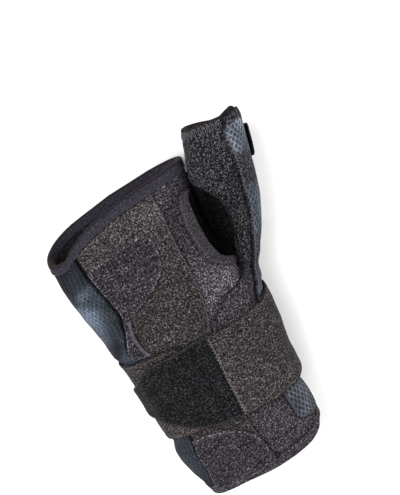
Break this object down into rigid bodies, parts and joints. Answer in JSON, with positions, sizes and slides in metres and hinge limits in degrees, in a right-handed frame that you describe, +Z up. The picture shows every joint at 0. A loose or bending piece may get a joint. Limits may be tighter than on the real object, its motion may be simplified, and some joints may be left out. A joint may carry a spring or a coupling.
{
  "type": "thumb spica splint",
  "caption": "Right-hand wrist and thumb splint: padded cloth tube with thenar window, thumb sleeve, wide wrist strap and hook closures.",
  "frame": {"origin": "middle of the footprint, level with the surface that the splint's back rests on", "axes": "+Z up, out of the palm; +Y towards the fingers; +X towards the thumb side of a right hand"},
  "size_m": [0.1312, 0.1864, 0.0568],
  "materials": {
    "loop_cloth": "napped charcoal loop cloth with pale flecks",
    "heather_loop": "brown-grey heather loop cloth",
    "patterned_mesh": "spacer mesh printed in blue-grey and dark blotches",
    "binding": "folded dark edging with stitches",
    "hook_tape": "black pile-backed hook tape"
  },
  "bodies": {
    "root": {"palm_wrap": "loop_cloth", "back_panel": "patterned_mesh", "palm_edge_binding": "binding", "forearm_edge_binding": "binding", "palm_panel": "heather_loop", "window_hem": "loop_cloth", "palm_tab": "loop_cloth", "edging_strip": "binding", "forearm_tab": "loop_cloth", "wrist_strap": "heather_loop", "strap_tab": "hook_tape", "thumb_sleeve": "loop_cloth", "thumb_edge_binding": "binding", "thumb_stay_cover": "patterned_mesh", "thumb_tab": "hook_tape"}
  },
  "joints": []
}
